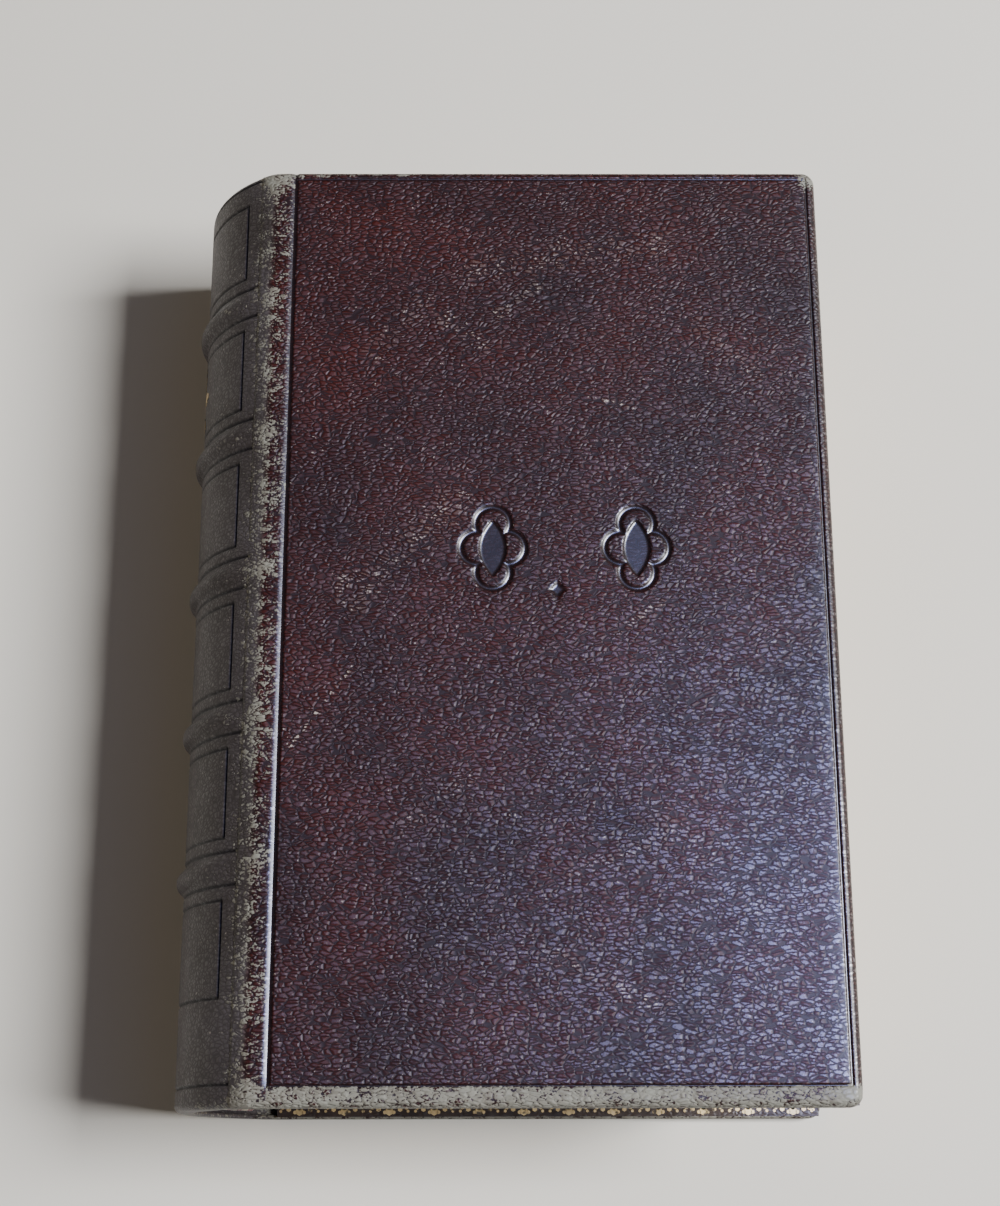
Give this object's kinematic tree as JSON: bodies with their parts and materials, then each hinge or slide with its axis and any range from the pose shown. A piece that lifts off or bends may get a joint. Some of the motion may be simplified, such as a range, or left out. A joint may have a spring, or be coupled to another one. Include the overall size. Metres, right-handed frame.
{
  "type": "prayer book",
  "caption": "Small thick devotional book in a full leather binding with a rounded spine, raised bands and covers that open on leather joints.",
  "frame": {"origin": "under the middle of the closed book, on the outer face of the back cover that it lies on", "axes": "+X from the spine to the fore-edge, +Y from the tail to the head, +Z from the back cover to the front cover"},
  "size_m": [0.0882, 0.1284, 0.0362],
  "materials": {
    "cover_leather": "dark red-brown morocco, worn at the edges",
    "spine_leather": "the same leather, faded grey-brown by light",
    "millboard": "matte",
    "endpaper": "cream, matte",
    "page_paper": "cream, gilt on the cut edges",
    "lining_paper": "brown, matte",
    "mull": "open weave cotton",
    "sewing_thread": "linen thread",
    "sewing_cord": "hemp cord",
    "endband_silk": "wound silk in two colours"
  },
  "bodies": {
    "book_block": {"section_01": "page_paper", "section_02": "page_paper", "section_03": "page_paper", "section_04": "page_paper", "section_05": "page_paper", "section_06": "page_paper", "section_07": "page_paper", "section_08": "page_paper", "section_09": "page_paper", "section_10": "page_paper", "section_11": "page_paper", "section_12": "page_paper", "section_13": "page_paper", "section_14": "page_paper", "section_15": "page_paper", "section_16": "page_paper", "section_17": "page_paper", "section_18": "page_paper", "section_19": "page_paper", "section_20": "page_paper", "section_21": "page_paper", "section_22": "page_paper", "section_23": "page_paper", "section_24": "page_paper", "section_threads": "sewing_thread", "sewing_cord_1": "sewing_cord", "sewing_cord_2": "sewing_cord", "sewing_cord_3": "sewing_cord", "sewing_cord_4": "sewing_cord", "sewing_cord_5": "sewing_cord", "kettle_stitches": "sewing_thread", "spine_mull": "mull", "spine_lining": "lining_paper", "spine_leather": "spine_leather", "front_endpaper_guard": "endpaper", "back_endpaper_guard": "endpaper", "head_endband": "endband_silk", "tail_endband": "endband_silk", "head_endband_core": "sewing_cord", "tail_endband_core": "sewing_cord"},
    "front_cover": {"front_board": "millboard", "front_cover_leather": "cover_leather", "front_pastedown": "endpaper"},
    "back_cover": {"back_board": "millboard", "back_cover_leather": "cover_leather", "back_pastedown": "endpaper"},
    "front_flyleaf": {"front_flyleaf": "endpaper"},
    "half_title_leaf": {"half_title_leaf": "page_paper"},
    "title_leaf": {"title_leaf": "page_paper"},
    "first_text_leaf": {"first_text_leaf": "page_paper"},
    "back_flyleaf": {"back_flyleaf": "endpaper"}
  },
  "joints": [
    {"name": "front_cover_hinge", "type": "hinge", "parent": "book_block", "child": "front_cover", "pos_m": [-0.03373, 0, 0.035], "axis": [0, -1, 0], "range_deg": [0, 179.5]},
    {"name": "back_cover_hinge", "type": "hinge", "parent": "book_block", "child": "back_cover", "pos_m": [-0.03373, 0, 0.0012], "axis": [0, 1, 0], "range_deg": [0, 180]},
    {"name": "front_flyleaf_hinge", "type": "hinge", "parent": "book_block", "child": "front_flyleaf", "pos_m": [-0.03373, 0, 0.035], "axis": [0, -1, 0], "range_deg": [0, 143.7]},
    {"name": "half_title_leaf_hinge", "type": "hinge", "parent": "book_block", "child": "half_title_leaf", "pos_m": [-0.0306, 0, 0.03338], "axis": [0, -1, 0], "range_deg": [0, 107.8]},
    {"name": "title_leaf_hinge", "type": "hinge", "parent": "book_block", "child": "title_leaf", "pos_m": [-0.0298, 0, 0.03313], "axis": [0, -1, 0], "range_deg": [0, 75.49]},
    {"name": "first_text_leaf_hinge", "type": "hinge", "parent": "book_block", "child": "first_text_leaf", "pos_m": [-0.029, 0, 0.03288], "axis": [0, -1, 0], "range_deg": [0, 39.59]},
    {"name": "back_flyleaf_hinge", "type": "hinge", "parent": "book_block", "child": "back_flyleaf", "pos_m": [-0.0314, 0, 0.00258], "axis": [0, 1, 0], "range_deg": [0, 1.9]}
  ],
  "couplings": [
    {"joint": "front_flyleaf_hinge", "follows": "front_cover_hinge", "ratio": 0.8},
    {"joint": "half_title_leaf_hinge", "follows": "front_cover_hinge", "ratio": 0.6},
    {"joint": "title_leaf_hinge", "follows": "front_cover_hinge", "ratio": 0.42},
    {"joint": "first_text_leaf_hinge", "follows": "front_cover_hinge", "ratio": 0.22},
    {"joint": "back_flyleaf_hinge", "follows": "back_cover_hinge", "ratio": 0.01}
  ]
}
